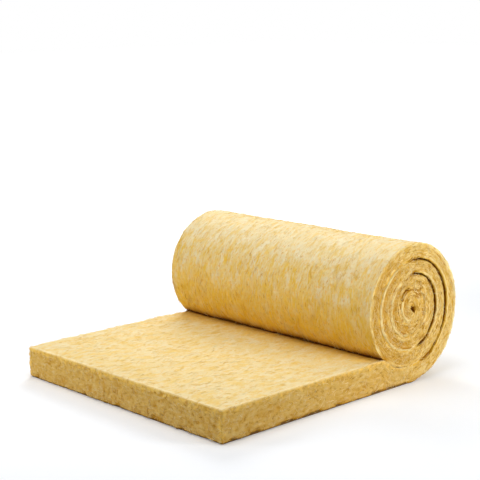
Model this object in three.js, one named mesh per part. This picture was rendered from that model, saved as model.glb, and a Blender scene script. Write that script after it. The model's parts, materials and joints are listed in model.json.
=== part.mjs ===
// A roll of glass wool insulation, partly unrolled, lying on a level floor.
//
// The blanket is one piece of wool. Its free end lies flat as a tail at full thickness. The tail
// runs under the roll, is pressed thin by it, and winds inwards to a small open eye. The solid is
// made the way the real one is: a flat blanket with softly rounded edges is extruded first, and
// then each of its cross-sections is laid where the rolled-up wool has it.
//
// Millimetres, +Z up. X runs along the tail towards the roll, Y along the roll's axis.

import * as THREE from "three";

// The blanket.
const blanketWidth = 1200; // along the roll's axis
const freeThickness = 130; // of the tail, where nothing presses it
const edgeRound = 8; // radius that the cut wool's edges have relaxed to
const tailLength = 1037; // free end to the roll's line of rest

// The roll. Its outer face is a spiral whose pitch falls slightly towards the eye.
const rollRadius = 305; // at the line of rest, where the winding starts
const coreRadius = 44; // outer face of the blanket's inner end
const turns = 4.17; // from the line of rest to the inner end
const tightening = 0.16; // share by which the first turn's pitch is above the mean
const narrowing = 0.985; // width of the roll over its height
const eyeRadius = 7; // the hole that is left at the middle
const eyeClosing = 0.09; // turns that the innermost wool takes to sink into the eye
const eyeRise = 13; // by which the eye lies above the outermost turn's middle
const eyeShift = 4; // by which it lies nearer to the tail

// The gaps between turns: nearly shut, and open on the side away from the tail.
const pressedGap = 1.6;
const openGap = 12;
const openTurns = 2; // turns, from the outside, that stand open
const openFrom = 0.03; // in turns, counted from below the axis
const openTo = 0.53;
const slitGap = 9; // a short slit beside the core
const slitFrom = 2.5;
const slitTo = 2.68;

// The turns lie a little askew, as they do when a blanket is rolled by hand.
const skew = 3; // by which a turn's edge sways to either side
const levelTurn = 1.26; // the turn that lies straight, between the ones that lean either way

// Fineness of the mesh.
const stepsPerTurn = 48;
const tailSteps = 12;
const roundSteps = 3; // across each rounded end of the blanket
const edgeSteps = 2; // across each rounded long edge

const wool = new THREE.MeshStandardMaterial({
  color: 0xe2c06c,
  roughness: 1,
  metalness: 0,
});

// Smooth rise from 0 to 1 as n goes from a to b.
const rise = (n, a, b) => THREE.MathUtils.smoothstep(n, a, b);

// Radius of the blanket's outer face, n turns in from the line of rest.
function outerRadius(n) {
  const meanPitch = (rollRadius - coreRadius) / turns;
  return rollRadius - meanPitch * n * (1 + tightening * (1 - n / turns));
}

// Gap between the inner face at n and the next turn's outer face.
function gapAt(n) {
  const turned = n - Math.floor(n);
  const share = THREE.MathUtils.clamp((turned - openFrom) / (openTo - openFrom), 0, 1);
  const open = n >= 0 && n < openTurns ? Math.sin(Math.PI * share) : 0;
  const slit = rise(n, slitFrom, (slitFrom + slitTo) / 2) - rise(n, (slitFrom + slitTo) / 2, slitTo);
  return pressedGap + openGap * open + slitGap * slit;
}

// Radius of the blanket's inner face. It lies on the next turn, and closes on the eye where the
// next turn has ended.
function innerRadius(n) {
  if (n + 1 <= turns) return outerRadius(n + 1) + gapAt(n);
  const ledge = outerRadius(turns) + gapAt(turns - 1);
  const closed = rise(n + 1, turns, turns + eyeClosing);
  return THREE.MathUtils.lerp(ledge, eyeRadius, closed);
}

// A point in the roll's section, n turns round from the line of rest, which lies at x = 0. The
// middle that the wool turns about drifts from the outermost turn's middle to the eye, and an
// inner face turns about the middle of the turn that it lies on.
function onRoll(radius, n, middleTurn) {
  const angle = 2 * Math.PI * n;
  const drift = THREE.MathUtils.clamp(middleTurn / turns, 0, 1);
  return new THREE.Vector2(
    narrowing * radius * Math.sin(angle) - eyeShift * drift,
    rollRadius + eyeRise * drift - radius * Math.cos(angle),
  );
}

const outerPoint = (n) => onRoll(outerRadius(n), n, n);
const innerPoint = (n) => onRoll(innerRadius(n), n, n + 1);

// Turns back from the line of rest to where the roll's flank leaves the tail's upper face.
function contactTurns() {
  let low = 0;
  let high = 0.25;
  for (let i = 0; i < 40; i++) {
    const middle = (low + high) / 2;
    if (innerPoint(-middle).y < freeThickness) low = middle;
    else high = middle;
  }
  return low;
}

// The blanket's stations, from the free end of the tail to the inner end. Each has its point on
// the outer face, its point on the inner face, and the inset of a rounded end.
function layBlanket() {
  const stations = [];
  const add = (outer, inner, sideways = 0) => stations.push({ outer, inner, sideways, inset: 0 });

  // The tail, flat on the floor up to the crease where the roll meets it.
  const contact = contactTurns();
  const crease = innerPoint(-contact);
  const roundShare = (i) => 1 - Math.cos((Math.PI / 2) * (i / roundSteps));
  for (let i = 0; i < roundSteps; i++) {
    const x = -tailLength + edgeRound * roundShare(i);
    add(new THREE.Vector2(x, 0), new THREE.Vector2(x, freeThickness));
  }
  for (let i = 0; i <= tailSteps; i++) {
    const x = THREE.MathUtils.lerp(-tailLength + edgeRound, crease.x, i / tailSteps);
    add(new THREE.Vector2(x, 0), new THREE.Vector2(x, freeThickness));
  }

  // Under the roll, where the tail's upper face takes the shape of the roll's flank.
  for (let i = Math.ceil(contact * stepsPerTurn) - 1; i > 0; i--) {
    const inner = innerPoint(-i / stepsPerTurn);
    add(new THREE.Vector2(inner.x, 0), inner);
  }

  // The winding.
  const rollSteps = Math.round(turns * stepsPerTurn);
  for (let i = 0; i <= rollSteps; i++) {
    const n = Math.min(i / stepsPerTurn, turns);
    const lean = THREE.MathUtils.clamp(n / levelTurn - 1, -1, 1);
    add(outerPoint(n), innerPoint(n), skew * lean * Math.sin(2 * Math.PI * n));
  }

  // Both ends of the blanket are rounded like its other edges, the thin inner end half as much.
  const last = stations.length - 1;
  for (let i = 0; i < roundSteps; i++) {
    const inset = edgeRound * (1 - Math.sin((Math.PI / 2) * (i / roundSteps)));
    stations[i].inset = inset;
    stations[last - i].inset = inset / 2;
  }
  return stations;
}

// The blanket laid out flat: its cross-section, with one extrusion step from each station to the
// next. Across the blanket is X here, and its thickness is Y.
function flatBlanket(steps) {
  const w = blanketWidth / 2 - edgeRound;
  const low = edgeRound;
  const high = freeThickness - edgeRound;
  const section = new THREE.Shape();
  section.absarc(w, low, edgeRound, -Math.PI / 2, 0);
  section.absarc(w, high, edgeRound, 0, Math.PI / 2);
  section.absarc(-w, high, edgeRound, Math.PI / 2, Math.PI);
  section.absarc(-w, low, edgeRound, Math.PI, 1.5 * Math.PI);
  return new THREE.ExtrudeGeometry(section, {
    steps,
    depth: steps,
    curveSegments: edgeSteps,
    bevelEnabled: false,
  });
}

// Moves each point of the flat blanket to its place between its station's two faces.
function rollUp(flat, stations) {
  const points = flat.getAttribute("position");
  for (let i = 0; i < points.count; i++) {
    const { outer, inner, sideways, inset } = stations[Math.round(points.getZ(i))];
    const thickness = outer.distanceTo(inner);
    const narrowed = 1 - (2 * inset) / blanketWidth;
    const through = points.getY(i) / freeThickness;
    const up = (inset + through * (thickness - 2 * inset)) / thickness;
    const place = outer.clone().lerp(inner, up);
    points.setXYZ(i, place.x, points.getX(i) * narrowed + sideways, place.y);
  }
  flat.computeVertexNormals();
  return flat;
}

const stations = layBlanket();
const blanket = new THREE.Mesh(rollUp(flatBlanket(stations.length - 1), stations), wool);
blanket.name = "wool_blanket";

// The part's origin is on the floor, below the middle of the whole.
blanket.geometry.computeBoundingBox();
const middle = blanket.geometry.boundingBox.getCenter(new THREE.Vector3());
blanket.position.set(-middle.x, -middle.y, 0);

const insulationRoll = new THREE.Group();
insulationRoll.add(blanket);

export default insulationRoll;
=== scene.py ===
# %% [markdown]
# # A partly unrolled roll of glass wool
# The object is one blanket of glass wool. Its free end lies flat in front, and the rest is still
# wound up. The CAD frame already holds the blanket as one plain solid, which MuJoCo uses. Here it
# gets its looks: a soft uneven skin, torn and porous cut edges, and loose fibres.

# %% Load the frame
import json

import bpy
import numpy as np
from mathutils import Matrix, Vector

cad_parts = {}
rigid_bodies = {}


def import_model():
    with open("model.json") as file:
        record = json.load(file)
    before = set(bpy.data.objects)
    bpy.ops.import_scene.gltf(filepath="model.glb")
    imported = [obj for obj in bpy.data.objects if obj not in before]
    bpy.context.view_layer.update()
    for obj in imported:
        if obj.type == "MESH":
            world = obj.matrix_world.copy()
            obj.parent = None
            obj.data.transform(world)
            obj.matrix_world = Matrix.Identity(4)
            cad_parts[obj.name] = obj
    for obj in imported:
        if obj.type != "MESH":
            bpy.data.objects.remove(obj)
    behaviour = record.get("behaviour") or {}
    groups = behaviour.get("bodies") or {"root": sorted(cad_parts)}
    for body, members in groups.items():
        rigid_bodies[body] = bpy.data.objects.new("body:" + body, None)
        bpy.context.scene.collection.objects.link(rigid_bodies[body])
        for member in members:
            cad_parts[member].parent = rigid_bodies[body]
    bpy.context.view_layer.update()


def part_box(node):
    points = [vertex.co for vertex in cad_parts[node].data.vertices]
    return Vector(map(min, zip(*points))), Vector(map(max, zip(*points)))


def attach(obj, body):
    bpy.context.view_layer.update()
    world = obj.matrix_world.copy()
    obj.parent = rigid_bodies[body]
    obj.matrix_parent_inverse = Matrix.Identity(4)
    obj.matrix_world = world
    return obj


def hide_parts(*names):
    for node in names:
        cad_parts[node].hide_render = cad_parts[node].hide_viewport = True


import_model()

# %% [markdown]
# ## The sizes of the blanket
# The dressed blanket has to lie exactly where the CAD one lies. It is wound by the same formula,
# so it needs the same sizes. Only the place of the line where the roll rests on the floor is
# worked out from the frame's box.

# %% Sizes, in metres
WIDTH = 1.200
LOOSE = 0.130  # thickness where nothing presses the wool
EDGE = 0.008  # radius that the cut edges have relaxed to
TAIL = 1.037  # free end to the line of rest
RADIUS = 0.305  # of the roll, at the line of rest
CORE = 0.044  # radius of the blanket's outer face at its inner end
TURNS = 4.17  # from the line of rest to the inner end
TIGHTENING = 0.16  # share by which the pitch starts above its mean and ends below it
NARROWING = 0.985  # width of the roll over its height
EYE = 0.007  # radius of the eye
EYE_CLOSING = 0.09  # turns over which the inner face sinks to the eye
EYE_RISE = 0.013  # by which the eye lies above the outermost turn's middle
EYE_SHIFT = 0.004  # and nearer to the tail
PRESSED_GAP = 0.0016  # between turns that are pressed together
OPEN_GAP = 0.012  # and by which an open gap is wider than that, at its middle
OPEN_TURNS = 2  # turns that have an open gap on the inner face
OPEN_FROM, OPEN_TO = 0.03, 0.53  # share of such a turn at which it opens and has closed
SLIT_GAP = 0.009  # the same for the short slit beside the core
SLIT_FROM, SLIT_TO = 2.5, 2.68  # turns at which the slit opens and has closed
SKEW = 0.003  # by which a turn's edge sways to either side
LEVEL_TURN = 1.26  # the turn that lies straight

low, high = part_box("wool_blanket")
REST_X = low.x + TAIL
print("line of rest at x =", round(REST_X, 4))

# %% [markdown]
# ## The camera
# The view is a long lens from a little above the floor, towards the corner of the tail. A long
# lens keeps the tail's edges nearly parallel. The camera is set by its place and by three angles,
# and a matrix is built from its right, up and back directions, so that no helper has to guess.

# %% Camera
LENS, SENSOR = 95.2, 36  # mm of focal length and of width
CAMERA_FROM_REST = (-3.885, -3.766, 1.542)
YAW, PITCH, ROLL = np.radians((-42.953, -10.712, -0.788))


def place_camera():
    """Looks along (-sin yaw cos pitch, cos yaw cos pitch, sin pitch), then rolls about that line."""
    ahead = np.array((-np.sin(YAW) * np.cos(PITCH), np.cos(YAW) * np.cos(PITCH), np.sin(PITCH)))
    level = np.array((np.cos(YAW), np.sin(YAW), 0.0))
    upright = np.cross(level, ahead)
    right = np.cos(ROLL) * level + np.sin(ROLL) * upright
    up = np.cos(ROLL) * upright - np.sin(ROLL) * level
    lens = bpy.data.cameras.new("camera")
    lens.lens = LENS
    lens.sensor_width = SENSOR
    lens.clip_end = 100
    camera = bpy.data.objects.new("camera", lens)
    bpy.context.scene.collection.objects.link(camera)
    turn = Matrix(np.stack((right, up, -ahead), 1).tolist()).to_4x4()
    x, y, z = CAMERA_FROM_REST
    camera.matrix_world = Matrix.Translation((REST_X + x, y, z)) @ turn
    bpy.context.scene.camera = camera
    return camera


print("camera stands at", [round(v, 2) for v in place_camera().matrix_world.translation])

# %% [markdown]
# ## The spiral
# A blanket wound on itself is a spiral whose pitch is the pressed thickness. It could be drawn as
# a curve and given a thickness, but the thickness changes from turn to turn and a gap opens on
# one side. So two radii are worked out for every angle: one of the outer face, and one of the
# inner face, which lies on the next turn. The wool sags, so the eye lies a little off the middle.

# %% Spiral formulas


def rise(n, start, end):
    """Smooth step from 0 to 1: with t from 0 to 1 between start and end, t squared times 3 - 2t."""
    t = np.clip((n - start) / (end - start), 0, 1)
    return t * t * (3 - 2 * t)


def outer_radius(n):
    """Radius falls by the mean pitch each turn, a little faster in the first turns than the last."""
    mean_pitch = (RADIUS - CORE) / TURNS
    return RADIUS - mean_pitch * n * (1 + TIGHTENING * (1 - n / TURNS))


def gap(n):
    """Pressed gap, plus half a sine wave on one side, plus a short slit beside the core."""
    share = np.clip((n % 1 - OPEN_FROM) / (OPEN_TO - OPEN_FROM), 0, 1)
    opening = np.where((n >= 0) & (n < OPEN_TURNS), np.sin(np.pi * share), 0)
    middle = (SLIT_FROM + SLIT_TO) / 2
    slit = rise(n, SLIT_FROM, middle) - rise(n, middle, SLIT_TO)
    return PRESSED_GAP + OPEN_GAP * opening + SLIT_GAP * slit


def inner_radius(n):
    """Outer radius one turn on plus the gap; past the blanket's end it sinks to the eye."""
    ledge = outer_radius(TURNS) + gap(np.array(TURNS - 1))
    closed = ledge + (EYE - ledge) * rise(n + 1, TURNS, TURNS + EYE_CLOSING)
    return np.where(n + 1 <= TURNS, outer_radius(n + 1) + gap(n), closed)


print("mean pitch of the turns:", round((RADIUS - CORE) / TURNS * 1000, 1), "mm")

# %% Points in the roll's section


def on_roll(radius, n, middle_turn):
    """Point (x, z) at that radius, n turns round from the line of rest, where x is 0. The middle
    that the wool turns about drifts in a straight line from the outermost turn's to the eye."""
    angle = 2 * np.pi * n
    drift = np.clip(middle_turn / TURNS, 0, 1)
    x = NARROWING * radius * np.sin(angle) - EYE_SHIFT * drift
    return np.stack((x, RADIUS + EYE_RISE * drift - radius * np.cos(angle)), -1)


def outer_point(n):
    """The outer face turns about the middle of its own turn."""
    return on_roll(outer_radius(n), n, n)


def inner_point(n):
    """The inner face turns about the middle of the turn that it lies on."""
    return on_roll(inner_radius(n), n, n + 1)


def contact_turns():
    """Turns back from the line of rest at which the roll's flank is as high as the loose tail."""
    n = np.linspace(0, 0.25, 5001)
    return n[np.argmax(inner_point(-n)[:, 1] >= LOOSE)]


print("flank leaves the tail", round(contact_turns() * 360, 1), "degrees from the line of rest")

# %% [markdown]
# ## Stations along the blanket
# The blanket is cut in thought into thin slices across its width, as bread is. Each slice, or
# station, has a point on the outer face and one on the inner face, in the roll's section. The
# step between stations is about as long as the smallest lump that is modelled. In the pinch
# under the roll the stations stay upright, and on the roll they point at its axis.

# %% Stations
STEP = 0.0086  # along the tail and the first turn
FINE_STEP = 0.0072  # in the turns inside
END_ROWS = 3  # stations that round off each end


def lay_stations():
    """Points (x, z) of the outer and the inner face, from the free end to the eye. Also the turns
    wound so far, which is below 0 before the line of rest, and how many stations the tail has."""
    bend = np.arange(END_ROWS) / END_ROWS * np.pi / 2
    contact = contact_turns()
    crease_x = inner_point(-contact)[0]
    count = int((TAIL + crease_x) / STEP)
    straight = np.linspace(EDGE - TAIL, crease_x, count, endpoint=False)
    x = np.concatenate((EDGE * (1 - np.cos(bend)) - TAIL, straight))
    n = np.linspace(-contact, 0, int(contact * 2 * np.pi * RADIUS / STEP), endpoint=False)
    pinched = inner_point(n)
    winding = [0.0]
    while winding[-1] < TURNS:
        step = STEP if winding[-1] < 1 else FINE_STEP
        winding.append(winding[-1] + step / (2 * np.pi * outer_radius(winding[-1])))
    winding = np.array(winding) * TURNS / winding[-1]
    floor_x = np.concatenate((x, pinched[:, 0]))
    outer = np.concatenate((np.stack((floor_x, floor_x * 0), 1), outer_point(winding)))
    loose = np.stack((x, x * 0 + LOOSE), 1)
    inner = np.concatenate((loose, pinched, inner_point(winding)))
    return outer, inner, np.concatenate((x * 0 - 1, n, winding)), len(x)


outer, inner, turned, tail_count = lay_stations()
print(len(outer), "stations, of them on the tail:", tail_count)

# %% Thickness, length, sway and rounded ends
thickness = np.linalg.norm(inner - outer, axis=1)
steps = np.linalg.norm(np.diff((outer + inner) / 2, axis=0), axis=1)
along = np.concatenate(((0,), np.cumsum(steps)))
lean = np.clip(turned / LEVEL_TURN - 1, -1, 1)
sideways = np.where(turned > 0, SKEW * lean * np.sin(2 * np.pi * turned), 0)
rounding = EDGE * (1 - np.sin(np.arange(END_ROWS) / END_ROWS * np.pi / 2))
inset = np.zeros(len(outer))
inset[:END_ROWS] = rounding
inset[-END_ROWS:] = rounding[::-1] / 2
print("blanket", round(along[-1], 2), "m long and", round(thickness[1:-END_ROWS].min() * 1000),
      "to", round(thickness.max() * 1000), "mm thick")

# %% [markdown]
# ## The blanket as a rounded box
# Before it is rolled up, the blanket is a flat box with rounded edges: length, width, thickness.
# Every mesh point is first a place in that box, and so is every pattern, so the grain follows the
# wool round the roll. Each row of points goes round the section once: outer skin, far cut edge,
# inner skin, near cut edge. A skin that is hidden in the roll gets few points, a skin that shows
# gets many.

# %% Points across a skin and up a cut edge
SKIN_POINTS = 124  # across a skin that shows
CUT_POINTS = 21  # up a cut edge
CORNER_POINTS = 3  # on each side of a corner's middle
HIDDEN_SHARES = np.array((0.0, 0.008, 0.022, 0.05, 0.15, 0.5))  # of the width, from either edge


def skin_side(fine):
    """Across, depth and skin share from one corner's middle to the other's. On a corner of angle
    f from the cut edge the point lies EDGE(1 - cos f) across and EDGE(1 - sin f) deep."""
    shares = np.linspace(0, 1, SKIN_POINTS) if fine else HIDDEN_SHARES
    if not fine:
        shares = np.concatenate((shares, 1 - shares[-2::-1]))
    bend = np.linspace(0.5, 1, CORNER_POINTS, endpoint=False) * np.pi / 2
    edge = EDGE * (1 - np.cos(bend)) - WIDTH / 2
    across = np.concatenate((edge, (shares - 0.5) * (WIDTH - 2 * EDGE), -edge[::-1]))
    depth = EDGE * (1 - np.sin(bend))
    skin = np.sin(bend) ** 2
    return (across, np.concatenate((depth, shares * 0, depth[::-1])),
            np.concatenate((skin, shares * 0 + 1, skin[::-1])))


def cut_side():
    """Through, depth and skin share up a cut edge, between the middles of its two corners."""
    bend = np.linspace(0, 0.5, CORNER_POINTS, endpoint=False)[:0:-1] * np.pi / 2
    flat = np.linspace(EDGE, LOOSE - EDGE, CUT_POINTS)
    edge = EDGE * (1 - np.sin(bend))
    through = np.concatenate((edge, flat, LOOSE - edge[::-1]))
    depth = EDGE * (1 - np.cos(bend))
    skin = np.sin(bend) ** 2
    return (through, np.concatenate((depth, flat * 0, depth[::-1])),
            np.concatenate((skin, flat * 0, skin[::-1])))


print("points across a skin:", len(skin_side(True)[0]), "where it shows and",
      len(skin_side(False)[0]), "where it is hidden; up a cut edge:", len(cut_side()[0]))

# %% One row round the section


def section_row(fine_outer, fine_inner):
    """One loop round the section: across, through, skin share, and where each side starts."""
    out_across, out_depth, out_skin = skin_side(fine_outer)
    in_across, in_depth, in_skin = skin_side(fine_inner)
    cut_through, cut_depth, cut_skin = cut_side()
    across = np.concatenate((out_across, WIDTH / 2 - cut_depth,
                             -in_across, cut_depth - WIDTH / 2))
    through = np.concatenate((out_depth, cut_through, LOOSE - in_depth, cut_through[::-1]))
    skin = np.concatenate((out_skin, cut_skin, in_skin, cut_skin))
    starts = np.cumsum((0, len(out_across), len(cut_through), len(in_across)))
    return across, through, skin, starts


print("points in a row, both skins fine:", len(section_row(True, True)[0]),
      "and both hidden:", len(section_row(False, False)[0]))

# %% [markdown]
# ## Joining rows that differ
# Most rows are joined by quads, which is plain index arithmetic. Where a fine skin meets a coarse
# one, every fine edge makes a triangle with the nearest coarse point, and every coarse edge makes
# one with the fine point where the nearest coarse point changes. That leaves no crack.

# %% Faces between rows


def quads(grid):
    """Four corners of every cell of a grid of point numbers."""
    cells = (grid[:-1, :-1], grid[:-1, 1:], grid[1:, 1:], grid[1:, :-1])
    return np.stack([corner.ravel() for corner in cells], 1)


def zip_rows(fine, fine_at, coarse, coarse_at):
    """Triangles between two rows of unlike count, whose places along the row only rise. Where a
    fine edge's middle lies just on a switch, it still goes to the coarse point before that."""
    switch_at = (coarse_at[1:] + coarse_at[:-1]) / 2
    edge_at = (fine_at[1:] + fine_at[:-1]) / 2
    nearest = coarse[np.searchsorted(switch_at, edge_at)]
    switch = fine[np.searchsorted(edge_at, switch_at, side="right")]
    return np.concatenate((np.stack((fine[:-1], fine[1:], nearest), 1),
                           np.stack((coarse[1:], coarse[:-1], switch), 1)))


def sides(row, starts):
    """A row's point numbers as four runs that share their end points."""
    first, second, third, fourth = starts
    return (row[first:second], row[second - 1:third + 1], row[third:fourth],
            np.append(row[fourth - 1:], row[first]))


three, five = np.arange(3), np.arange(5)
print("rows of 5 and of 3 points are joined by",
      len(zip_rows(five, five / 4, three, three / 2)), "triangles")

# %% [markdown]
# ## The whole mesh
# The rows come in five blocks, by which of the two skins shows. Both ends are closed by a grid
# that is stretched between the four sides of the last row.

# %% Blocks of rows
FREE_END, TOP, PINCH, FLANK, WOUND = range(5)
BLOCK_SKINS = ((True, True), (False, True), (False, False), (True, False), (False, False))
PAST_CREASE = 2  # rows past the crease where the inner skin still gets many points
FLANK_HIDDEN = 0.93  # turns at which the roll's outer skin is well under the tail
rows = np.arange(len(outer))
block_of = np.select(
    [rows < END_ROWS + 1, rows < tail_count + PAST_CREASE, turned < 0, turned < FLANK_HIDDEN],
    [FREE_END, TOP, PINCH, FLANK], WOUND)
print("rows in the five blocks:", np.bincount(block_of).tolist())

# %% Adding points and closing an end
points = {"station": [], "across": [], "through": [], "skin": []}
point_count = 0
four_sided = []
three_sided = []


def add_points(station, across, through, skin):
    """Appends points that share one shape and returns their numbers in that shape."""
    global point_count
    shape = np.broadcast_shapes(np.shape(station), np.shape(across))
    for name, value in zip(points, (station, across, through, skin)):
        points[name].append(np.broadcast_to(value, shape).ravel())
    count = int(np.prod(shape))
    point_count += count
    return np.arange(point_count - count, point_count).reshape(shape)


def close_end(grid_sides, station, facing_back):
    """Grid between four sides: each inner point mixes the sides left, right, below and above it,
    less the four corners, so that the grid meets all sides."""
    bottom, right, top, left = grid_sides
    top, left = top[::-1], left[::-1]
    u = np.linspace(0, 1, len(bottom))[None, 1:-1]
    v = np.linspace(0, 1, len(left))[1:-1, None]
    mixed = []
    for name in ("across", "through"):
        value = np.concatenate(points[name])
        b, r, t, l = value[bottom], value[right], value[top], value[left]
        mixed.append((1 - v) * b[1:-1] + v * t[1:-1] + (1 - u) * l[1:-1, None] + u * r[1:-1, None]
                     - (1 - u) * ((1 - v) * b[0] + v * t[0]) - u * ((1 - v) * b[-1] + v * t[-1]))
    grid = np.zeros((len(left), len(bottom)), int)
    grid[0], grid[-1], grid[:, 0], grid[:, -1] = bottom, top, left, right
    grid[1:-1, 1:-1] = add_points(station, mixed[0], mixed[1], 0.0)
    four_sided.append(quads(grid[:, ::-1] if facing_back else grid))


def join(before, after):
    """Faces between the last row of a block and the first row of the next, side by side."""
    for side, (old, new) in enumerate(zip(before, after)):
        value = np.concatenate(points["across"]) * (1 if side == 0 else -1)
        if len(old) == len(new):
            four_sided.append(quads(np.stack((old, new))))
        elif len(old) > len(new):
            three_sided.append(zip_rows(old, value[old], new, value[new]))
        else:
            three_sided.append(zip_rows(new, value[new], old, value[old])[:, ::-1])


print("every point keeps its", ", ".join(points))

# %% All points and faces
before = None
for block, kind in enumerate(BLOCK_SKINS):
    across, through, skin, starts = section_row(*kind)
    grid = add_points(rows[block_of == block][:, None], across, through, skin)
    four_sided.append(quads(np.column_stack((grid, grid[:, 0]))))
    if before is None:
        close_end(sides(grid[0], starts), 0, True)
    else:
        join(before, sides(grid[0], starts))
    before = sides(grid[-1], starts)
close_end(before, rows[-1], False)
four_sided, three_sided = np.concatenate(four_sided), np.concatenate(three_sided)
print(point_count, "points,", 2 * len(four_sided) + len(three_sided), "triangles")

# %% Sharper edges where the wool is wound
SHARPER = 0.75  # share by which the edges of the wound wool are less round
station, across, through, skin = (np.concatenate(points[name]) for name in points)
turns = turned[station]
bent = (skin > 0) & (skin < 1)
sharper = np.where(bent, SHARPER * rise(turns, -0.1, 0.4), 0)
across += sharper * EDGE * (1 - np.sqrt(1 - skin)) * np.sign(across)
through += sharper * EDGE * (1 - np.sqrt(skin)) * np.sign(through - LOOSE / 2)
print("points on a rounded edge:", int(bent.sum()))

# %% [markdown]
# ## Rolling it up
# Each point of the box is laid between its station's outer and inner point, by its share of the
# thickness. So the wool is squeezed where the roll is tight. The mesh is made at once, still
# smooth, because Blender then gives the direction that faces outwards at every point.

# %% Smooth blanket
box_place = np.stack((along[station], across, through), 1)


def lay(station, across, through):
    """Outer point plus the share of the way to the inner point. The inset narrows a rounded end."""
    t, d = thickness[station], inset[station]
    share = (d + through / LOOSE * (t - 2 * d)) / t
    flat = outer[station] + (inner - outer)[station] * share[:, None]
    y = across * (1 - 2 * d / WIDTH) + sideways[station]
    return np.stack((REST_X + flat[:, 0], y, flat[:, 1]), 1)


def make_piece(name, places, faces):
    """A mesh object at the origin with its place in its mesh, shaded smooth."""
    mesh = bpy.data.meshes.new(name)
    mesh.from_pydata(places.tolist(), [], [face for kind in faces for face in kind.tolist()])
    mesh.shade_smooth()
    piece = bpy.data.objects.new(name, mesh)
    bpy.context.scene.collection.objects.link(piece)
    return piece


def facing_of(piece):
    """The direction that faces outwards at every point."""
    directions = np.zeros(len(piece.data.vertices) * 3, np.float32)
    piece.data.vertex_normals.foreach_get("vector", directions)
    return directions.reshape(-1, 3)


smooth_place = lay(station, across, through)
blanket = make_piece("glass_wool_blanket", smooth_place, (four_sided, three_sided))
outwards = facing_of(blanket)
print("smooth blanket spans", np.ptp(smooth_place, axis=0).round(3))

# %% [markdown]
# ## Noise
# Wool is uneven at every scale. Blender's own noise textures could push the surface about with a
# Displace modifier, but the lumps have to follow the wool round the roll and differ on skin and
# cut edge. So the noise is worked out here at each point's place in the flat box.

# %% Lattice noise
TABLE_SIZE = 65536  # random values that all cells share
HASH_FACTORS = np.array((73856093, 19349663, 83492791))  # scatter the cells over the table


def noise(place, cell, seed):
    """From -1 to 1: random values at the corners of cells of that size, mixed by smooth steps."""
    at = place / np.array(cell)
    first = np.floor(at).astype(np.int64)
    t = at - first
    t = t * t * (3 - 2 * t)
    table = np.random.default_rng(seed).uniform(-1, 1, TABLE_SIZE)
    total = np.zeros(len(place))
    for step in np.ndindex(2, 2, 2):
        hashed = np.bitwise_xor.reduce((first + step) * HASH_FACTORS, axis=1)
        total += np.prod(np.where(step, t, 1 - t), axis=1) * table[hashed % TABLE_SIZE]
    return total


sample = noise(box_place, (0.05, 0.05, 0.05), 0)
print("noise from", round(sample.min(), 2), "to", round(sample.max(), 2), "in lumps of 5 cm")

# %% [markdown]
# ## Relief
# The skin is a thin felt: broad soft dents, and streaks along the blanket from the belt it was
# made on. The cut edge is torn by the saw: ragged lumps, thin layers that lie along the blanket,
# and pits where a tuft was pulled out. Where a skin is pressed between two turns it stays flat.

# %% Relief of skin and cut edge
LIP = 0.0012  # by which the felted skin stands out at an edge
CLOSED_LIP = 0.0008  # by which it does where the next turn presses on the edge


def skin_relief(place):
    """Metres: broad dents 14 cm long, lumps of 4 cm, streaks 26 mm long and 14 mm wide, and grain
    of 1 cm."""
    return (0.0026 * noise(place, (0.14, 0.15, 0.2), 1)
            + 0.0020 * noise(place, (0.050, 0.035, 0.2), 2)
            + 0.0022 * noise(place, (0.026, 0.014, 0.1), 3)
            + 0.0012 * noise(place, (0.010, 0.010, 0.1), 8))


def cut_relief(place):
    """Metres: lumps of 45 mm and of 16 mm, layers 9 mm thin, and pits where a noise is high."""
    pits = np.clip(noise(place, (0.014, 0.014, 0.008), 6) - 0.15, 0, 1)
    return (0.0014 * noise(place, (0.045, 0.045, 0.035), 4)
            + 0.0014 * noise(place, (0.016, 0.016, 0.010), 7)
            + 0.0012 * noise(place, (0.040, 0.040, 0.009), 5) - 0.0040 * pits)


def edge_relief(place):
    """Metres: the tufts that stand along every edge, 2 to 6 cm apart, on a low even lip."""
    return (LIP + 0.0058 * noise(place, (0.060, 0.060, 0.2), 11)
            + 0.0036 * noise(place, (0.022, 0.022, 0.2), 12))


def gap_relief(place):
    """Metres: the edge beside an open gap is rounder, with tufts 16 mm apart."""
    return 0.0030 * noise(place, (0.016, 0.016, 0.2), 16) - 0.0025


def bites(place):
    """From 0 to 1 where the edge that is dragged over the floor has lost a tuft."""
    return rise(noise(place, (0.055, 0.055, 0.2), 14), 0.05, 0.60)


def notch_relief(place):
    """Metres: those bites, and a smaller raggedness."""
    return -0.0030 - 0.0085 * bites(place) + 0.0022 * noise(place, (0.014, 0.014, 0.2), 15)


# %% [markdown]
# ## What is known about every point
# The next steps shape and colour the wool by where it lies: on which face, how many turns in, how
# near to a seam, a gap, the crease or the floor. Each of those facts is one array with a number
# for every point, and most are shares from 0 to 1, so that they can be multiplied and mixed.

# %% Faces, depths and gaps
wound = turns > 0
on_inner = through > LOOSE / 2  # in the half of the thickness that faces the eye
on_flank = block_of[station] == FLANK
hidden = np.where(on_inner, station >= tail_count, ~on_flank & (station > END_ROWS))
end_bend = (np.clip(rows, 0, END_ROWS) / END_ROWS * np.pi / 2)[station]
skin *= np.sin(end_bend) ** 2
corner = 4 * skin * (1 - skin)  # 1 in the middle of a rounded edge
cut_face = (skin < 1) & (end_bend > 0)
facing_up = rise(outwards[:, 2], 0.5, 1.0)
low_down = np.where(turns < 0.1, rise(smooth_place[:, 2], LOOSE / 2, LOOSE / 4), 0)  # on the tail
from_outer = through * thickness[station] / LOOSE
from_inner = thickness[station] - from_outer
depth = WIDTH / 2 - np.abs(smooth_place[:, 1])  # from the nearer end of the roll
crease = inner_point(-contact_turns()) + (REST_X, 0)
off_crease = np.linalg.norm(smooth_place[:, ::2] - crease, axis=1)
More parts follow.
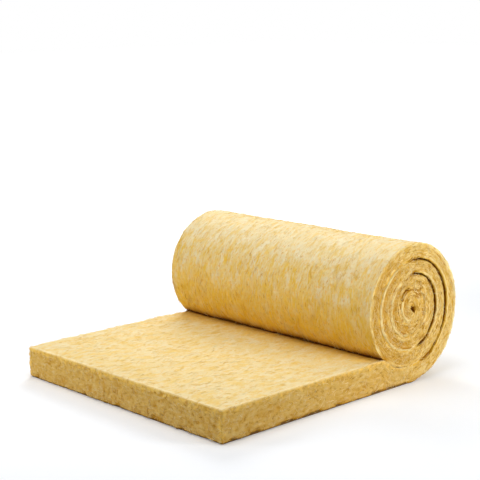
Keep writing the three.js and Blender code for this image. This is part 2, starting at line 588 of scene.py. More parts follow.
print("points on skin that shows:", int(((skin == 1) & ~hidden).sum()),
      "and on cut edges:", int((skin == 0).sum()))

# %% Open and closed stretches of the seams
opened = np.where(on_inner, gap(turns), gap(turns - 1)) / OPEN_GAP
parting = np.where(wound, rise(opened, 0.08, 0.45), 0)  # the lips begin to part
cracked = np.where(wound, rise(opened, 0.145, 0.26), 0)  # a dark line shows
in_gap = np.where(wound, rise(opened, 0.3, 0.8), 0)  # a wide gap
shut = np.where(on_inner & wound, 1 - in_gap, 0)
print("points beside a wide gap:", int((in_gap > 0.5).sum()))

# %% Relief
CREASE_DEPTH = 0.0020  # by which the skins give way where the flank meets the tail
BITE_DEPTH = 0.0070  # by which a bite goes on into the cut edge above it

felt = skin_relief(box_place)
bitten = bites(box_place)
squeezed = np.sqrt(thickness[station] / LOOSE)
skin_part = felt * np.where(hidden, 0.15, 1 - 0.4 * facing_up)
cut_part = cut_relief(box_place) * squeezed
edge_part = np.where(low_down > 0, notch_relief(box_place), edge_relief(box_place) * squeezed)
edge_part += in_gap * gap_relief(box_place)
edge_part = np.where(shut > 0, edge_part * (1 - shut) + CLOSED_LIP * shut, edge_part)
in_crease = np.where(hidden, 0, rise(off_crease, 0.012, 0.002))
near_floor = low_down * rise(through, 0.022, 0.010) * (1 - skin)
relief = skin * skin_part + (1 - skin) * cut_part + corner * edge_part
relief -= CREASE_DEPTH * in_crease * skin
relief -= BITE_DEPTH * near_floor * bitten
place = smooth_place + outwards * relief[:, None]
print("relief from", round(relief.min() * 1000, 1), "to", round(relief.max() * 1000, 1), "mm")

# %% [markdown]
# ## The ends of the roll
# A roll is never cut off flat. On the side of the tail each turn stands out a little past the
# next one in, with a shallow trough behind that ledge, and at the core the wool has sunk in. There
# the eye is open to a wedge, because the first fold of the blanket didn't close.

# %% Ledges at the seams, and the wedge beside the eye
LEDGE = 0.0055  # by which the turns stand out at a seam, on the tail's side
TROUGH = 0.0020  # by which the wool behind a ledge lies lower
TAIL_SIDE = 0.78  # turns from the line of rest round to the middle of the tail's side
CORE_FROM = 2.9  # turns past which the wool lies at the core
FUNNEL = 0.003  # depth to which the ends of the innermost wool have sunk round the eye
WEDGE = 0.016  # depth of the wedge that is left open beside the eye
EYE_TIP, EYE_FOOT = (0.004, 0.000), (0.029, -0.015)  # ends of the wedge, from the eye's middle
EYE_TIP_RADIUS, EYE_FOOT_RADIUS = 0.003, 0.011


def off_wedge(section):
    """Metres outside a wedge in the section plane, below 0 in it: the distance from the line
    between its tip and its foot, less a radius that grows along that line."""
    tip, foot = np.array((EYE_TIP, EYE_FOOT))
    share = np.clip((section - tip) @ (foot - tip) / np.sum((foot - tip) ** 2), 0, 1)
    off_line = np.linalg.norm(section - tip - share[:, None] * (foot - tip), axis=1)
    return off_line - EYE_TIP_RADIUS - share * (EYE_FOOT_RADIUS - EYE_TIP_RADIUS)


turn_angle = 2 * np.pi * turns
tail_side = rise(np.cos(turn_angle - TAIL_SIDE * 2 * np.pi), -0.30, 0.45)
inner_turns = tail_side * rise(turns, 1.2, 1.6)
endways = inner_turns * rise(from_outer, -0.005, 0.005) * rise(from_outer, 0.022, 0.009)
endways += tail_side * rise(turns, 0.2, 0.6) * rise(from_inner, 0.012, -0.012)
endways *= LEDGE * (1 + 0.35 * noise(box_place, (0.035, 1, 1), 13)) * (skin < 1)
behind_ledge = inner_turns * rise(from_outer, 0.008, 0.014) * rise(from_outer, 0.050, 0.030)
behind_ledge *= cut_face
endways -= TROUGH * behind_ledge
off_eye = off_wedge(smooth_place[:, ::2] - on_roll(0, TURNS, TURNS) - (REST_X, 0))
sunk = FUNNEL * rise(off_eye, 0.016, 0.0) + WEDGE * rise(off_eye, 0.003, -0.004)
endways -= sunk * (turns > CORE_FROM) * rise(depth, 0.10, 0.02)
place[:, 1] += np.sign(place[:, 1]) * endways
print("ends moved by", round(endways.min() * 1000, 1), "to", round(endways.max() * 1000, 1), "mm")

# %% [markdown]
# ## Seams and gaps at the ends
# Inside the roll the turns keep the CAD's gaps. Within a few centimetres of the ends the wool is
# freer: where two turns are pressed together the seam closes, where a gap stands open its lips
# have drawn back and are ragged, and the seams on the tail's side lie a little nearer to it.

# %% Lips of the gaps, and the shift of the seams
CLOSING = 0.0030  # by which a turn leans against the next one in, where no gap stands open
GAPING = 0.0022  # by which each lip has drawn back towards the two ends of a gap
WAIST = 1.2  # share of GAPING that goes again where a gap is wide, so that it stays a slit
RAGGED = 0.0032  # by which the lips wander in and out
SEAM_SHIFT = 0.012  # by which those seams lie nearer to the tail at the roll's ends than inside

inwards = (inner - outer)[station] / thickness[station, None]
closing = CLOSING * shut * (1 - parting) * rise(through, 0.8 * LOOSE, LOOSE)
by_gap = rise(np.where(on_inner, from_inner, from_outer), 0.020, 0.004)
ragged = RAGGED * noise(box_place, (0.020, 0.020, 0.2), 18)
drawn_back = GAPING * (1 - WAIST * in_gap) + ragged
closing += parting * drawn_back * by_gap * np.where(on_inner, -1, 1)
place[:, ::2] += inwards * (closing * rise(depth, 0.05, 0.02))[:, None]
by_seam = np.maximum(rise(from_inner, 0.045, 0) * wound,
                     rise(from_outer, 0.045, 0) * (turns >= 1))
by_seam *= rise(-np.sin(turn_angle), 0, 0.9) * rise(off_eye, 0.05, 0.11)
place[:, 0] -= SEAM_SHIFT * by_seam * rise(depth, 0.10, 0.02)
place[:, 2] = np.maximum(place[:, 2], 0)
blanket.data.vertices.foreach_set("co", place.astype(np.float32).ravel())
blanket.data.update()
print("dressed blanket spans", np.ptp(place, axis=0).round(3))

# %% [markdown]
# ## What the material has to know
# The material can't see turns and seams, so the blanket carries them as numbers at its points:
# its place in the flat box, the turns wound so far, whether it is cut, how much shade is painted
# on it, how much top light is painted on it, and how near to a rim or a seam.

# %% Place, turns and cut


def add_attribute(piece, name, kind, values):
    """A value at every point, for the material to read."""
    layer = piece.data.attributes.new(name, kind, "POINT")
    layer.data.foreach_set("vector" if kind == "FLOAT_VECTOR" else "value",
                           np.asarray(values, np.float32).ravel())


add_attribute(blanket, "wool", "FLOAT_VECTOR", box_place)
add_attribute(blanket, "turned", "FLOAT", turns)
add_attribute(blanket, "cut", "FLOAT", 1 - skin)
print("patterns follow", round(along[-1], 2), "m of wool")

# %% [markdown]
# ## Painted shade in the hollows
# Light that goes into wool comes out darker and redder, so every hollow gets a painted shade of
# amber, and a deep one of umber. The real depth gives some of that shade by itself. The rest is
# painted, and told by one number, the largest of the painted shades that follow.

# %% Shade between the turns
dark_from = 0.002 - 0.001 * cracked + 0.004 * tail_side * (1 - cracked)
# painted shade on the skins hidden between the turns, deeper further in from the roll's end
shade_between_turns = np.where(hidden, rise(depth, dark_from, dark_from + 0.012 - 0.007 * cracked), 0)
by_eye = np.where(on_inner, rise(turns, TURNS - 1.02, TURNS - 0.98), 0)
shade_between_turns = np.maximum(shade_between_turns, by_eye * rise(depth, 0.0, 0.008))
# painted shade on the lips of a narrow gap, and in the wedge beside the eye
lips = np.maximum(rise(from_inner, 0.007, 0.001), rise(from_outer, 0.007, 0.001) * (turns >= 1))
lips *= cracked * (1 - in_gap) * cut_face
in_wedge = rise(off_eye, 0.003, -0.002)
print("points between two turns:", int((shade_between_turns > 0.5).sum()))

# %% Shade on the skin, on the cut edges and by the floor
LIP_SHADE = 0.86  # depth of the painted shade on the lips of a gap
CORNER_SHADE = 0.55  # of the painted shade on the skin that bends over them
CREASE_SHADE = 0.48  # of the painted shade on the roll's flank just over the tail
LEDGE_SHADE = 0.30  # of the painted shade in the trough behind a ledge
FLANK_SHADE = 0.22  # of the painted shade on the outermost turn on the tail's side

outermost = tail_side * rise(turns, 0.3, 0.6) * (turns < 1) * cut_face
shaded = outermost * rise(from_outer, 0.008, 0.016) * rise(from_inner, 0.006, 0.012)
# painted shade in the pits and dents, under the tail's lower edge, in its bites and by the crease
pits = np.clip(-relief / 0.012, 0, 0.35) * (1 - skin)
dents = np.clip(-0.0010 - felt, 0, 0.004) / 0.004 * (skin == 1) * ~hidden
dents *= 0.20 - 0.15 * facing_up
under = np.where(turns < 0.1, rise(place[:, 2], 0.011, 0.003), 0)
shade_in_bites = low_down * bitten * rise(smooth_place[:, 2], 0.016, 0.006)
above_crease = CREASE_SHADE * np.clip((0.065 - off_crease) / 0.055, 0, 1) ** 1.5 * on_flank
# the largest of the painted shades at every point
painted_shade = np.maximum.reduce((
    pits + FLANK_SHADE * shaded, dents, under, shade_in_bites, in_crease, above_crease, shade_between_turns,
    in_wedge, LIP_SHADE * lips, CORNER_SHADE * cracked * corner, LEDGE_SHADE * behind_ledge))
add_attribute(blanket, "painted_shade", "FLOAT", painted_shade)
print("points in a deep hollow:", int((painted_shade > 0.5).sum()))

# %% [markdown]
# ## Painted top light
# Skin that faces up is painted paler, as the light from above falls on it, and skin that faces
# down keeps its deep gold, in painted shade. On the tail a painted shade brings the gold back
# towards the crease, where the roll covers it and shades it.

# %% Share of painted top light
# painted shade that deepens the tail's gold towards the crease
painted_crease_shade = 0.75 * rise(off_crease, 0.17, 0.01) + 0.12 * rise(off_crease, 0.45, 0.10)
painted_crease_shade *= turns < 0
# paler the more a face points up, as painted top light, less the painted crease shade
painted_top_light = rise(outwards[:, 2], -0.5, 1.0) - painted_crease_shade
add_attribute(blanket, "painted_top_light", "FLOAT", painted_top_light)
print("points with faded skin:", int(((painted_top_light > 0.5) & (skin == 1) & ~hidden).sum()))

# %% [markdown]
# ## The rims
# Along most edges the felted skin bends a little way over the cut wool, as a pale rim, and it is
# painted paler still, as a highlight where the edge catches the light. Where two turns meet, the
# wool right at the seam is painted golden, because the light in it has gone through wool, and the
# rim lies beside that. The blanket gets two numbers, from 0 to 1, for rim and seam.

# %% Rims along the tail
TOP_RIM = 0.76  # painted highlight at the top of the tail's cut edges
TOP_RIM_FALL = 10  # by which it falls for each metre down
off_edge = np.minimum(along[station], WIDTH / 2 - np.abs(across))  # from the nearest edge
off_upright = np.maximum(along[station], WIDTH / 2 - np.abs(across))  # from an upright edge
# painted highlight along the tail's top edge, fading downwards
over_cut = np.clip(TOP_RIM - (LOOSE - through) * TOP_RIM_FALL, 0, 1)
over_cut *= ~wound * rise(skin, 0.95, 0.5)
# painted highlights on the tail's skin along its edges, and up its upright corners
pale_edge = 0.85 * rise(off_edge, 0.034, 0.008) * ~wound * on_inner * (skin > 0.5)
upright = rise(off_upright, 0.036, 0.018) * (0.57 + 0.15 * rise(off_upright, 0.012, 0.004))
upright *= 1 - skin
print("points on the tail's own rims:", int((over_cut > 0).sum()))

# %% Rims round the roll
RIM_REACH = 0.030  # from the outer face, on the outermost turn
TORN_FROM = 2.1  # turns past which rims and seams are half lost in torn wool


def beside(distance):
    """1 in a strip from 3 mm to 10 mm beside a seam, and 0 from 16 mm on."""
    return rise(distance, 0.000, 0.003) * rise(distance, 0.016, 0.010)


seam_turn = turns + on_inner  # counts the turns to the seam on that side
# pale rims on the roll's end, painted paler as highlights: at the flank, at the ledges, low on the
# flank and beside a wide gap
at_flank = np.clip(1 - from_outer / RIM_REACH, 0, 1) * (turns > 0.1)
at_flank *= (turns < 1) * (0.7 + 0.25 * rise(np.sin(turn_angle), 0.2, 0.9))
at_ledge = inner_turns * rise(from_outer, 0.012, 0.006) * np.where(seam_turn > TORN_FROM, 0.75, 1)
low_flank = 0.68 * outermost * rise(from_outer, 0.006, 0.003) * rise(turns, 0.92, 0.80)
at_gap = 0.8 * in_gap * on_inner * beside(from_inner)
on_roll_end = np.maximum.reduce((at_flank, at_ledge, low_flank, at_gap)) * cut_face
rim = np.maximum.reduce((on_roll_end, over_cut, pale_edge, upright))
add_attribute(blanket, "rim", "FLOAT", rim)
print("points on a rim:", int((rim > 0.5).sum()))

# %% Seams between the turns
by_inner = rise(from_inner, 0.008, 0.002) * np.maximum(0.6 + 0.4 * in_gap, tail_side)
by_outer = rise(from_outer, 0.004, 0.001) * (turns >= 1) * (1 - inner_turns)
parted = rise(noise(box_place, (0.06, 0.06, 0.2), 17), -0.2, 0.5)
parted = np.where(seam_turn > TORN_FROM, parted, 1)
seam = np.where(wound & (cut_face | hidden), np.maximum(by_inner, by_outer) * parted, 0)
add_attribute(blanket, "seam", "FLOAT", seam)
print("points by a seam:", int((seam > 0.5).sum()))

# %% [markdown]
# ## The colour of the wool
# Glass wool is yellow from its binder. The skin is pale, with golden clouds, small orange flecks
# where the binder gathered, and fine streaks. The cut edge is browner, and darkest in its pits.
# Everything reads the blanket's own attributes, so the pattern bends with the wool. A material
# has many nodes, so a small class keeps each of them to one short call.

# %% Material helpers
DULL = {"Roughness": 0.8, "Specular IOR Level": 0.1, "Specular Tint": (1.0, 0.75, 0.35, 1)}


class Nodes:
    """Short calls for building a material's nodes."""

    def __init__(self, name):
        self.material = bpy.data.materials.new(name)
        self.material.use_nodes = True
        self.tree = self.material.node_tree
        self.shader = self.tree.nodes["Principled BSDF"]

    def node(self, kind, inputs=(), **settings):
        """A node of that kind, with its settings and its inputs by name, linked or set."""
        made = self.tree.nodes.new("ShaderNode" + kind)
        for key, value in settings.items():
            setattr(made, key, value)
        for key, value in dict(inputs).items():
            self.feed(made.inputs[key], value)
        return made

    def feed(self, socket, value):
        """Links an output to the socket, or sets the socket's own value."""
        if isinstance(value, bpy.types.NodeSocket):
            self.tree.links.new(value, socket)
        else:
            socket.default_value = value

    def attribute(self, name):
        """A number that the piece carries at its points."""
        return self.node("Attribute", attribute_name=name).outputs["Fac"]

    def noise(self, vector, grain, detail=2.0, roughness=0.5):
        """Blender's noise from 0 to 1, mostly near 0.5. The vector is divided by the grain's size
        in metres, so that a noise of scale 1 has that grain."""
        scale = tuple(1 / size for size in grain)
        where = self.node("Mapping", {"Vector": vector, "Scale": scale}).outputs[0]
        made = self.node("TexNoise", {"Vector": where, "Scale": 1.0, "Detail": detail,
                                      "Roughness": roughness})
        return made.outputs["Fac"]

    def ramp(self, value, start, end, low=0.0, high=1.0):
        """Smooth step from low to high as the value goes from start to end."""
        return self.node("MapRange", {"Value": value, "From Min": start, "From Max": end,
                                      "To Min": low, "To Max": high},
                         interpolation_type="SMOOTHSTEP").outputs[0]

    def math(self, operation, first, second):
        """Two values joined by an operation."""
        made = self.node("Math", operation=operation)
        self.feed(made.inputs[0], first)
        self.feed(made.inputs[1], second)
        return made.outputs[0]

    def mix(self, share, first, second, blend="MIX"):
        """Two colours mixed by a share."""
        made = self.node("Mix", data_type="RGBA", blend_type=blend)
        self.feed(made.inputs[0], share)
        self.feed(made.inputs[6], first)
        self.feed(made.inputs[7], second)
        return made.outputs[2]

    def paint(self, colour, coats):
        """A colour under coats of others. Each coat is a colour and its share, or a colour and two
        shares that are multiplied."""
        for coat, *shares in coats:
            share = self.math("MULTIPLY", *shares) if len(shares) == 2 else shares[0]
            colour = self.mix(share, colour, coat)
        return colour

    def finish(self, inputs):
        """The material, once the shader's inputs are fed by name."""
        for key, value in inputs.items():
            self.feed(self.shader.inputs[key], value)
        return self.material


print("roughness of the wool:", DULL["Roughness"])

# %% Grain sizes, in metres along, across and through the blanket
FELT_GRAIN = (0.014, 0.010, 0.009)  # of the skin
VEIL_GRAIN = (0.085, 0.060, 0.10)  # patches of loose pale fibre on it
CLOUD_GRAIN = (0.050, 0.030, 0.02)  # golden clouds
STREAK_GRAIN = (0.034, 0.008, 0.02)  # fine pale streaks
PIT_GRAIN = (0.024, 0.013, 0.02)  # rusty pits
TORN_GRAIN = (0.024, 0.022, 0.014)  # of a cut edge
CLUMP_GRAIN = (0.034, 0.034, 0.022)  # lighter and darker clumps in it
THREAD_GRAIN = (0.040, 0.030, 0.009)  # pale fibres that lie along it
LAYER_GRAIN = (0.110, 0.110, 0.034)  # layers between which it splits
PARTED_GRAIN = (0.055, 0.055, 0.040)  # stretches where they have parted
FRAY_GRAIN = (0.024, 0.024, 0.024)  # of the border of a rim
TUFT_GRAIN = (0.034, 0.018, 0.016)  # soft tufts everywhere
BUMP = 0.007  # from the lowest grain to the highest, and half of that where the skin faces up
print("grain of felt and of torn wool:", FELT_GRAIN, TORN_GRAIN)

# %% [markdown]
# ## Skin
# The skin is a felt with more binder in it than the wool below. One noise for each thing that
# shows is easier to steer than one picture: veils, clouds and streaks lie on the ground colour in
# the order in which they lie on the real felt. Where the skin is bent round the roll it is pulled
# open and shows more of all that than where it lies flat.

# %% Skin colours
DEEP = (0.87, 0.535, 0.046, 1)  # skin that faces down: its deep gold, in painted shade
TOP_LIT_SKIN = (0.86, 0.685, 0.345, 1)  # skin that faces up: paler, as painted top light
CREAM = (0.885, 0.785, 0.53, 1)  # loose fibre
GOLD = (0.855, 0.555, 0.080, 1)  # wool that shows through thin felt
ORANGE = (0.84, 0.43, 0.03, 1)  # binder
RUST = (0.56, 0.26, 0.015, 1)  # pits of the skin, and low grain of a cut edge, where it is partly painted shade
FLAT = 0.55  # how strongly the flat wool shows its grain, against the wound wool


def skin_colour(n, wool, grain, painted_top_light, rolled):
    """Deep gold below and painted top light above, then coats: pale veils, stronger under the
    painted top light, golden clouds, fine pale streaks, orange flecks where the grain is lowest,
    rusty pits, and a last pale one, a painted highlight, where it faces up."""
    strength = n.ramp(rolled, 0.0, 1.0, FLAT, 1.0)
    # the pale veils show more where the top light is painted
    veiled = n.math("MULTIPLY", n.ramp(painted_top_light, 0.0, 0.7, 0.35, 1.0), strength)
    veils = n.ramp(n.noise(wool, VEIL_GRAIN, 5, 0.6), 0.43, 0.66, 0.0, 0.85)
    clouds = n.ramp(n.noise(wool, CLOUD_GRAIN, 5, 0.6), 0.43, 0.66, 0.0, 0.95)
    streaks = n.ramp(n.noise(wool, STREAK_GRAIN, 3), 0.50, 0.64, 0.0, 0.55)
    flecks = n.ramp(grain, 0.47, 0.36, 0.0, 0.62)
    pits = n.ramp(n.noise(wool, PIT_GRAIN, 3, 0.7), 0.40, 0.30, 0.0, 0.75)
    # a last pale coat, a painted highlight, where the skin faces straight up
    painted_top_pale = n.ramp(painted_top_light, 0.75, 1.0, 0.0, 0.32)
    return n.paint(n.mix(painted_top_light, DEEP, TOP_LIT_SKIN), (
        (CREAM, veils, veiled), (GOLD, clouds, strength), (CREAM, streaks, veiled),
        (ORANGE, flecks, strength), (RUST, pits, rolled), (CREAM, painted_top_pale, rolled)))


print("skin from", DEEP[:3], "to", TOP_LIT_SKIN[:3])

# %% [markdown]
# ## Cut edge
# A saw has torn the wool open here, so one looks into it: clumps of fibre, darker where the grain
# lies low, partly as painted shade, and thin layers that part where the blanket is wound tightly.
# The loose wool of the tail is more open and so more even, and a painted shade makes it a little
# darker than the end of the roll.

# %% Cut colours
WHEAT = (0.87, 0.63, 0.20, 1)  # light clumps
TAN = (0.78, 0.47, 0.08, 1)  # dark clumps
STRAW = (0.94, 0.77, 0.40, 1)  # fibres that stand out
BROWN = (0.34, 0.15, 0.01, 1)  # the lowest grain, partly painted shade
SPLIT = (0.46, 0.18, 0.006, 1)  # between two layers
EVEN = (0.83, 0.55, 0.14, 1)  # that the open wool of the tail's cut edge is closer to
LOOSE_SHADE = (0.87, 0.83, 0.81, 1)  # painted shade that darkens the tail's cut edge


def wool_splits(n, wool, wound):
    """From 0 to 1 in the dark splits between the layers of wound wool. A split lies where a noise
    that is long and thin is near 0.5, and a second noise says where the layers have parted."""
    off = n.math("ABSOLUTE", n.math("SUBTRACT", n.noise(wool, LAYER_GRAIN, 2), 0.5), 0.0)
    line = n.ramp(off, 0.012, 0.050, 1.0, 0.0)
    parted = n.ramp(n.noise(wool, PARTED_GRAIN, 1), 0.48, 0.57)
    return n.math("MULTIPLY", n.math("MULTIPLY", line, parted), wound)


def cut_colour(n, wool, grain, splits, rolled):
    """Wheat and tan clumps, then coats: an even tone on the tail, pale threads, straw where the
    grain stands out, rust and brown where it is low, partly as painted shade, and the dark splits,
    and last a painted shade over the tail's cut edge."""
    clumps = n.ramp(n.noise(wool, CLUMP_GRAIN, 4), 0.38, 0.62)
    threads = n.ramp(n.noise(wool, THREAD_GRAIN, 3), 0.54, 0.66, 0.0, 0.75)
    loose = n.math("SUBTRACT", 1.0, rolled)
    strength = n.ramp(rolled, 0.0, 1.0, FLAT, 1.0)
    high = n.ramp(grain, 0.52, 0.68, 0.0, 0.65)
    # rust and brown in the low grain are partly painted shade where the bump dips
    low = n.ramp(grain, 0.48, 0.37, 0.0, 0.70)
    lowest = n.ramp(grain, 0.40, 0.28, 0.0, 0.70)
    colour = n.paint(n.mix(clumps, TAN, WHEAT), (
        (EVEN, loose, 0.6), (STRAW, threads, strength), (STRAW, high, strength),
        (RUST, low, strength), (BROWN, lowest), (SPLIT, splits, 0.9)))
    return n.mix(loose, colour, LOOSE_SHADE, "MULTIPLY")


print("cut edge from", TAN[:3], "to", WHEAT[:3])

# %% [markdown]
# ## One material for the whole blanket
# Skin and cut edge could be two materials on two sets of faces, with a hard border. Here they are
# mixed at every point, so that the border can fray. The colours of the rim, partly a painted
# highlight, of the seam and of the painted shade in the hollows lie on top, and the grain that
# colours the wool also stands out, as a bump.

# %% Glass wool
RIM = (0.97, 0.80, 0.38, 1)  # skin bent over a cut edge of the roll, painted pale as a highlight
LOOSE_RIM = (0.96, 0.63, 0.13, 1)  # the same on the tail, a golden painted highlight
PALE_EDGE = (0.95, 0.79, 0.46, 1)  # painted highlight on the tail's skin along its edges
SEAM = (0.92, 0.58, 0.08, 1)  # wool at a seam, with light in it
AMBER = (0.57, 0.27, 0.014, 1)  # painted shade in a shallow hollow
UMBER = (0.25, 0.065, 0.001, 1)  # painted shade in a deep one
LOW_SHADE = (0.19, 0.10, 0.03, 1)  # painted shade deep in the tail's lower edge


def grain_bump(n, wool, cut, painted_top_light, felt, torn, splits):
    """Height is the grain of skin or cut edge, plus 0.6 of the tufts, less 0.25 of the splits."""
    tufts = n.noise(wool, TUFT_GRAIN, 2)
    grain = n.mix(cut, n.math("MAXIMUM", felt, 0.40), torn)
    height = n.math("ADD", grain, n.math("MULTIPLY", tufts, 0.6))
    grooves = n.math("MULTIPLY", n.math("MULTIPLY", splits, cut), 0.25)
    height = n.math("SUBTRACT", height, grooves)
    distance = n.ramp(painted_top_light, 0.75, 1.0, BUMP, 0.5 * BUMP)
    return n.node("Bump", {"Height": height, "Strength": 1.0, "Distance": distance}).outputs[0]


def glass_wool():
    """Skin and cut edge, mixed by the blanket's cut attribute, then coats: a pale frayed rim, partly
    a painted highlight, the golden seam, and painted shade from amber to umber in the hollows."""
    n = Nodes("glass_wool")
    wool = n.node("Attribute", attribute_name="wool").outputs["Vector"]
    cut, painted_shade, painted_top_light, rim, seam, turned_in = (
        n.attribute(name) for name in ("cut", "painted_shade", "painted_top_light", "rim", "seam", "turned"))
    rolled = n.ramp(turned_in, -0.1, 0.1)
    splits = wool_splits(n, wool, n.ramp(turned_in, -0.1, 2.5))
    felt = n.noise(wool, FELT_GRAIN, 4, 0.64)
    torn = n.noise(wool, TORN_GRAIN, 5, 0.61)
    fray = n.noise(wool, FRAY_GRAIN, 3, 0.6)
    frayed = n.math("ADD", rim, n.math("SUBTRACT", fray, 0.5))
    rim_colour = n.mix(rolled, n.mix(cut, PALE_EDGE, LOOSE_RIM), RIM)
    # the deepest painted shade: umber, and a duller one along the tail's lower edge
    off_low_edge = n.math("MAXIMUM", rolled, n.ramp(painted_top_light, 0.30, 0.35))
    deepest = n.mix(off_low_edge, LOW_SHADE, UMBER)
    ground = n.mix(cut, skin_colour(n, wool, felt, painted_top_light, rolled),
                   cut_colour(n, wool, torn, splits, rolled))
    colour = n.paint(ground, (
        (rim_colour, n.ramp(frayed, 0.55, 0.80, 0.0, 0.85)),
        (SEAM, n.ramp(seam, 0.0, 1.0, 0.0, 0.9)),
        (AMBER, n.ramp(painted_shade, 0.0, 0.5)), (deepest, n.ramp(painted_shade, 0.4, 1.0))))
    return n.finish({"Base Color": colour, **DULL,
                     "Normal": grain_bump(n, wool, cut, painted_top_light, felt, torn, splits),
                     "Sheen Weight": 0.1, "Sheen Roughness": 0.4,
                     "Sheen Tint": DULL["Specular Tint"]})


blanket.data.materials.append(glass_wool())
print("nodes in the material:", len(blanket.data.materials[0].node_tree.nodes))

# %% [markdown]
# ## Loose fibres
# Strands of wool stand off every side. A particle system could grow them, but hairs are no mesh
# and would be lost outside Blender. So each strand is a thin closed tube of three sides that
# rises out of the wool and dives in again. On the skin the strands lie mostly along the blanket,
# on a cut edge they lie every way.

# %% Shape of a strand
FIBRE_POINTS = 5  # along each strand
FIBRE_SIDES = 3
ROOT_DEPTH = 0.0015  # by which both ends of a strand dive under the surface
MOST_BOW = 0.22  # share of its length by which a strand may bend sideways


def unit(vectors):
    """The same directions with length 1."""
    return vectors / np.linalg.norm(vectors, axis=-1, keepdims=True)


def strands(rng, roots, normals, headings, size):
    """Points of strands. With s from -1 to 1 along a strand, it stands off the wool by
    lift(1 - s^2), less ROOT_DEPTH s^4, bends sideways by bow(1 - s^2), and is thickest in the
    middle."""
    least, most, thick, lift = size
    count = len(roots)
    s = np.linspace(-1, 1, FIBRE_POINTS)[None, :, None]
    length = rng.uniform(least, most, (count, 1, 1))
    bow = rng.uniform(-MOST_BOW, MOST_BOW, (count, 1, 1)) * length
    height = rng.uniform(0.3, 1.0, (count, 1, 1)) * lift
    side = np.cross(normals, headings)[:, None]
    up = normals[:, None]
    spine = roots[:, None] + headings[:, None] * s * length / 2
    spine = spine + side * bow * (1 - s ** 2) + up * (height * (1 - s ** 2) - ROOT_DEPTH * s ** 4)
    radius = thick * rng.uniform(0.6, 1.0, (count, 1, 1)) * (1 - 0.7 * s ** 4)
    turn = 2 * np.pi * np.arange(FIBRE_SIDES) / FIBRE_SIDES
    rings = side[:, :, None] * np.cos(turn)[:, None] + up[:, :, None] * np.sin(turn)[:, None]
    return spine[:, :, None] + rings * radius[..., None]


def strand_faces(count):
    """Quads along the tubes, and a triangle at both ends of each."""
    number = np.arange(count * FIBRE_POINTS * FIBRE_SIDES)
    number = number.reshape(count, FIBRE_POINTS, FIBRE_SIDES)
    following = np.roll(number, -1, 2)
    walls = np.stack((number[:, :-1], following[:, :-1], following[:, 1:], number[:, 1:]), -1)
    ends = np.concatenate((number[:, 0, ::-1], number[:, -1]))
    return walls.reshape(-1, 4), ends


print("faces of one strand:", sum(len(kind) for kind in strand_faces(1)))

# %% Growing strands
LOWEST = 0.0008  # of a strand over the floor
facing = facing_of(blanket)
lengthways = np.gradient(outer, axis=0)
lengthways = unit(np.stack((lengthways[:, 0], lengthways[:, 0] * 0, lengthways[:, 1]), 1))


def grow(name, seed, count, chosen, along_share, size):
    """A piece of strands that are rooted at random among the chosen points of the blanket. A
    heading mixes the blanket's own direction, by that share, with one at random. The size is the
    least and the greatest length, the radius and the lift."""
    rng = np.random.default_rng(seed)
    at = rng.choice(np.flatnonzero(chosen), count, replace=False)
    forward = lengthways[station[at]] * rng.choice((-1, 1), count)[:, None]
    normals = unit(facing[at])
    heading = along_share * forward + (1 - along_share) * unit(rng.normal(size=(count, 3)))
    heading = unit(heading - normals * np.sum(heading * normals, 1)[:, None])
    tubes = strands(rng, place[at], normals, heading, size)
    tubes[..., 2] = np.maximum(tubes[..., 2], LOWEST)
    piece = make_piece(name, tubes.reshape(-1, 3), strand_faces(count))
    # strands that face up are kept pale, as part of the painted top light
    tone = np.maximum(rng.uniform(0, 1, count), 0.35 * facing_up[at])
    add_attribute(piece, "tone", "FLOAT", np.repeat(tone, FIBRE_POINTS * FIBRE_SIDES))
    piece.parent = blanket
    print(name, "has", count, "strands and", len(piece.data.polygons), "faces")
    return piece


def strand_material(name, dark, middle, pale):
    """Three tones that change from strand to strand."""
    n = Nodes(name)
    tone = n.attribute("tone")
    colour = n.paint(dark, ((middle, n.ramp(tone, 0.1, 0.3)), (pale, n.ramp(tone, 0.4, 0.8))))
    return n.finish({"Base Color": colour, **DULL})


# %% Strands on skin, cut edges and corners
STRAND_TONES = ((0.66, 0.32, 0.015, 1), (0.88, 0.58, 0.11, 1), (0.92, 0.79, 0.44, 1))
open_wool = (place[:, 2] > 0.006) & (off_eye > 0.02)
is_cut = open_wool & (skin < 0.01)
is_skin = open_wool & (skin == 1) & ~hidden
is_edge = open_wool & (corner > 0.2) & (in_gap < 0.5)
strand_colour = strand_material("loose_strands", *STRAND_TONES)
for piece in (
        grow("strands_on_skin", 31, 4200, is_skin, 0.70, (0.018, 0.045, 0.0007, 0.0022)),
        grow("strands_on_cut", 32, 5200, is_cut, 0.25, (0.012, 0.038, 0.0007, 0.0030)),
        grow("strands_on_edges", 33, 1400, is_edge, 0.65, (0.012, 0.030, 0.0007, 0.0030))):
    piece.data.materials.append(strand_colour)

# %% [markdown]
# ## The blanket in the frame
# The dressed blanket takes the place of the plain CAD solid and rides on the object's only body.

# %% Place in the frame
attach(blanket, "root")
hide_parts("wool_blanket")
print("strands ride on", blanket.name, "as", [child.name for child in blanket.children])

# %% [markdown]
# ## The floor
# The floor is plain and pale. It stays white by a little glow that only the camera sees, so that
# the soft shadow still shows and the glow never lights the wool.

# %% Floor
WHITE = (1, 1, 1, 1)
FLOOR_SIZE = 60.0
FLOOR_COLOUR = (0.855, 0.875, 0.905, 1)
FLOOR_GLOW = 0.158
GLOW_FROM, GLOW_TO = 1.6, 5.0  # metres from the middle over which the glow grows to white


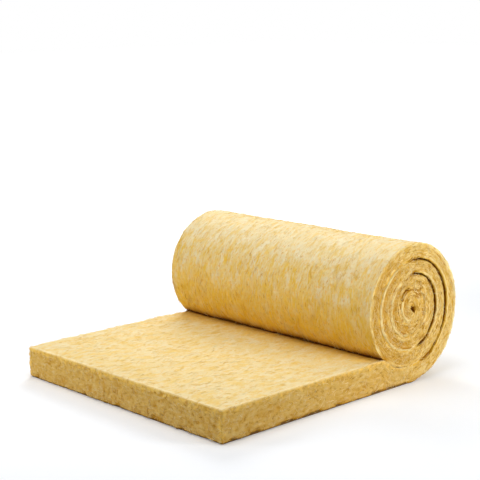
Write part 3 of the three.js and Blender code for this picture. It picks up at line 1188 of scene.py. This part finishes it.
def lay_floor():
    """A pale floor whose camera rays get a small glow on top of what the lamps give."""
    n = Nodes("floor")
    place = n.node("TexCoord").outputs["Object"]
    away = n.node("VectorMath", {0: place}, operation="LENGTH").outputs["Value"]
    glow = n.ramp(away, GLOW_FROM, GLOW_TO, FLOOR_GLOW, 1.0)
    seen = n.node("LightPath").outputs["Is Camera Ray"]
    material = n.finish({"Base Color": FLOOR_COLOUR, "Roughness": 1, "Specular IOR Level": 0,
                         "Emission Color": WHITE,
                         "Emission Strength": n.math("MULTIPLY", seen, glow)})
    half = FLOOR_SIZE / 2
    places = np.array(((-half, -half, 0), (half, -half, 0), (half, half, 0), (-half, half, 0)))
    floor = make_piece("floor", places, (np.array(((0, 1, 2, 3),)),))
    floor.data.materials.append(material)


lay_floor()
print("floor is", FLOOR_SIZE, "m wide")

# %% [markdown]
# ## The light
# Soft light comes from all round, and most of it from above. A large lamp overhead and one behind
# make the tops bright, and three smaller ones light the end of the roll and the sides of the tail.
# The light could come from a picture of a studio, but an even sky and five lamps can each be
# changed by themselves.

# %% Sky
SKY = 0.18  # strength of the light that comes from all round


def light_world(strength):
    """White for the camera, and a plain pale sky for everything else."""
    world = bpy.data.worlds.new("studio")
    world.use_nodes = True
    tree = world.node_tree
    sky = tree.nodes["Background"]
    sky.inputs["Color"].default_value = WHITE
    sky.inputs["Strength"].default_value = strength
    white = tree.nodes.new("ShaderNodeBackground")
    white.inputs["Color"].default_value = WHITE
    path = tree.nodes.new("ShaderNodeLightPath")
    mix = tree.nodes.new("ShaderNodeMixShader")
    tree.links.new(path.outputs["Is Camera Ray"], mix.inputs[0])
    tree.links.new(sky.outputs[0], mix.inputs[1])
    tree.links.new(white.outputs[0], mix.inputs[2])
    tree.links.new(mix.outputs[0], tree.nodes["World Output"].inputs[0])
    bpy.context.scene.world = world


light_world(SKY)
print("sky of strength", SKY)

# %% Lamps


def hang_softbox(name, place, target, size, power, spread=180):
    """A square soft lamp at a place, facing a target, with its power in watts. A spread below 180
    degrees is what a grid in front of the lamp does."""
    lamp = bpy.data.lights.new(name, "AREA")
    lamp.energy = power
    lamp.size = size
    lamp.spread = np.radians(spread)
    softbox = bpy.data.objects.new(name, lamp)
    aim = (Vector(target) - Vector(place)).to_track_quat("-Z", "Y")
    softbox.matrix_world = Matrix.Translation(place) @ aim.to_matrix().to_4x4()
    bpy.context.scene.collection.objects.link(softbox)
    print("lamp", name, "of", power, "W")


# name, place, target, size in metres, power in watts
hang_softbox("overhead", (-0.6, -0.3, 3.2), (-0.2, 0, 0.1), 2.4, 56)
hang_softbox("behind", (1.8, 2.4, 2.4), (0, 0, 0.2), 1.8, 76)
hang_softbox("right", (1.0, -2.9, 1.2), (0.3, -0.4, 0.2), 1.0, 30)
hang_softbox("grid", (0.1, -3.2, 1.2), (0.36, -0.6, 0.32), 0.8, 1.0, 34)
hang_softbox("left", (-2.7, 1.5, 0.8), (-0.3, 0.1, 0.2), 1.0, 25)
bpy.context.scene.view_settings.view_transform = "Standard"
